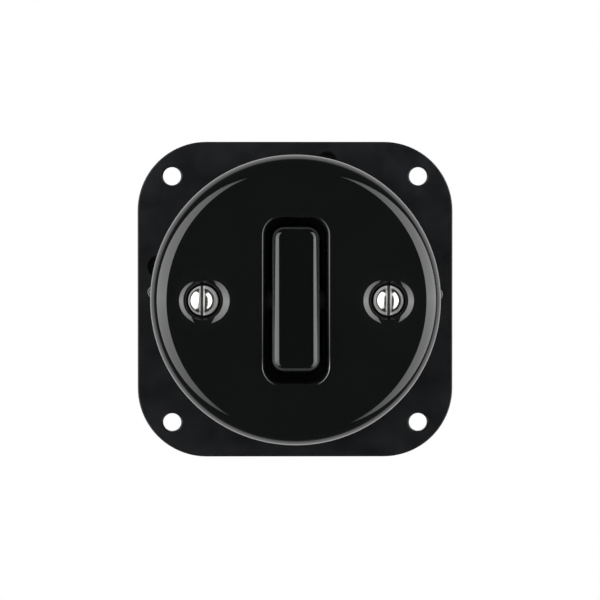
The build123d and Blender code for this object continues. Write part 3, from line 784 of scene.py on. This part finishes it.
def cut_slot(bm, off_centre):
    """Cut the slot's edges, press its lips in and sink the strip between them to the slot's floor."""
    for cut in [off_centre + edge for edge in (-slot_lip, -slot_core, slot_core, slot_lip)]:
        bmesh.ops.bisect_plane(
            bm, geom=bm.verts[:] + bm.edges[:] + bm.faces[:], dist=cut_tolerance, plane_co=(cut, 0, 0),
            plane_no=(1, 0, 0),
        )
    for vert in bm.verts:
        from_slot = abs(vert.co.x - off_centre)
        if vert.co.y < seat_y - side_height + cut_tolerance and from_slot < slot_lip:
            vert.co.y += lip_slope * (slot_lip - max(from_slot, slot_core))
    strip = []
    for face in bm.faces:
        middle = face.calc_center_median()
        if abs(middle.x - off_centre) < slot_core and middle.y < slot_floor:
            strip.append(face)
    sunk = bmesh.ops.extrude_face_region(bm, geom=strip)
    for item in sunk["geom"]:
        if isinstance(item, bmesh.types.BMVert):
            item.co.y = slot_floor
    bmesh.ops.delete(bm, geom=[face for face in strip if face.is_valid], context="FACES")
    bmesh.ops.remove_doubles(bm, verts=bm.verts, dist=weld_distance)
    bmesh.ops.dissolve_degenerate(bm, edges=bm.edges, dist=weld_distance)
    bmesh.ops.recalc_face_normals(bm, faces=bm.faces)


# %% Both screws
left_off_centre, right_off_centre = -0.33 * mm, 0.04 * mm
screw_sharp = math.radians(26)

screw_places = ((-screw_axis_x, left_off_centre), (screw_axis_x, right_off_centre))
screws_bm = bmesh.new()
for x, off_centre in screw_places:
    one = bmesh.new()
    round_head(one, off_centre)
    cut_slot(one, off_centre)
    bmesh.ops.translate(one, verts=one.verts, vec=(x, 0, 0))
    part_mesh = bpy.data.meshes.new("screw_part")
    one.to_mesh(part_mesh)
    one.free()
    screws_bm.from_mesh(part_mesh)
    bpy.data.meshes.remove(part_mesh)
screws_mesh = bpy.data.meshes.new("round_head_screws")
screws_bm.to_mesh(screws_mesh)
screws_bm.free()
screws_mesh.shade_smooth()
screws_mesh.set_sharp_from_angle(angle=screw_sharp)
print("screw faces:", len(screws_mesh.polygons))

# %% Satin mask and place of the screws
rim_satin, lip_satin = 1.0, 0.9
head_margin, edge_margin = 0.05 * mm, 0.01 * mm

mask = screws_mesh.attributes.new("turned", "FLOAT", "POINT")
for vert, value in zip(screws_mesh.vertices, mask.data):
    x, off_centre = screw_places[0] if vert.co.x < 0 else screw_places[1]
    from_slot = abs(vert.co.x - x - off_centre)
    from_crown = math.hypot(vert.co.x - x - off_centre, vert.co.z)
    on_head = vert.co.y < slot_floor - head_margin
    if on_head and from_crown > groove_r + edge_margin:
        value.value = rim_satin
    elif on_head and from_slot < slot_lip - edge_margin:
        value.value = lip_satin
screws_mesh.materials.append(nickel)
screws = bpy.data.objects.new("round_head_screws", screws_mesh)
bpy.context.collection.objects.link(screws)
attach(screws, "base")
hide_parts("cover_screws")
print("satin points:", sum(value.value > 0 for value in mask.data))

# %% [markdown]
# ## Plunger spring
# Inside the rocker's carrier a small compression spring pushes the plunger onto the contact bridge. A rigid coil
# would cut into the plunger when that slides in, so the spring is modelled again as a coil with open turns. Its
# wire section is spun about the spring's axis with a rise at every step, which makes a screw. The first and the
# last turn lie close, as on a real spring with ground ends, and the turns between stand open.

# %% Wire of the coil
wire_r = 0.3 * mm
coil_r = 2.1 * mm
coil_rear, coil_front = -7.65 * mm, -2.75 * mm
close_pitch = 0.62 * mm
open_turns = 3.5
turn_steps = 40
wire_sides = 14

open_pitch = (coil_front - coil_rear - 2 * close_pitch) / open_turns
coil_bm = bmesh.new()
section = bmesh.ops.create_circle(coil_bm, segments=wire_sides, radius=wire_r)["verts"]
bmesh.ops.translate(coil_bm, verts=section, vec=(coil_r, pivot_y - coil_rear, 0))
loop = coil_bm.verts[:] + coil_bm.edges[:]
for turns, pitch in ((1, close_pitch), (open_turns, open_pitch), (1, close_pitch)):
    grown = bmesh.ops.spin(
        coil_bm, geom=loop, cent=(0, 0, 0), axis=(0, 1, 0), dvec=(0, -pitch / turn_steps, 0),
        angle=2 * math.pi * turns, steps=round(turn_steps * turns),
    )
    loop = grown["geom_last"]
print("turns:", 2 + open_turns, "open pitch:", round(open_pitch / mm, 2), "mm")

# %% Closed ends and tilt of the coil
coil_sharp = math.radians(50)

ends = [edge for edge in coil_bm.edges if edge.is_boundary]
bmesh.ops.holes_fill(coil_bm, edges=ends, sides=wire_sides)
bmesh.ops.recalc_face_normals(coil_bm, faces=coil_bm.faces)
bmesh.ops.rotate(
    coil_bm, verts=coil_bm.verts, cent=(0, pivot_y, 0), matrix=Matrix.Rotation(-rock_angle, 3, "X"),
)
coil_mesh = bpy.data.meshes.new("coil_spring")
coil_bm.to_mesh(coil_mesh)
coil_bm.free()
coil_mesh.shade_smooth()
coil_mesh.set_sharp_from_angle(angle=coil_sharp)
coil_mesh.materials.append(steel)
print("coil faces:", len(coil_mesh.polygons))

# %% Coil between rocker and plunger
coil = bpy.data.objects.new("coil_spring", coil_mesh)
bpy.context.collection.objects.link(coil)
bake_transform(coil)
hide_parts("plunger_spring")
coil_low, coil_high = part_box("plunger_spring")
print("spring solid:", [round(v / mm, 2) for v in (*coil_low, *coil_high)])
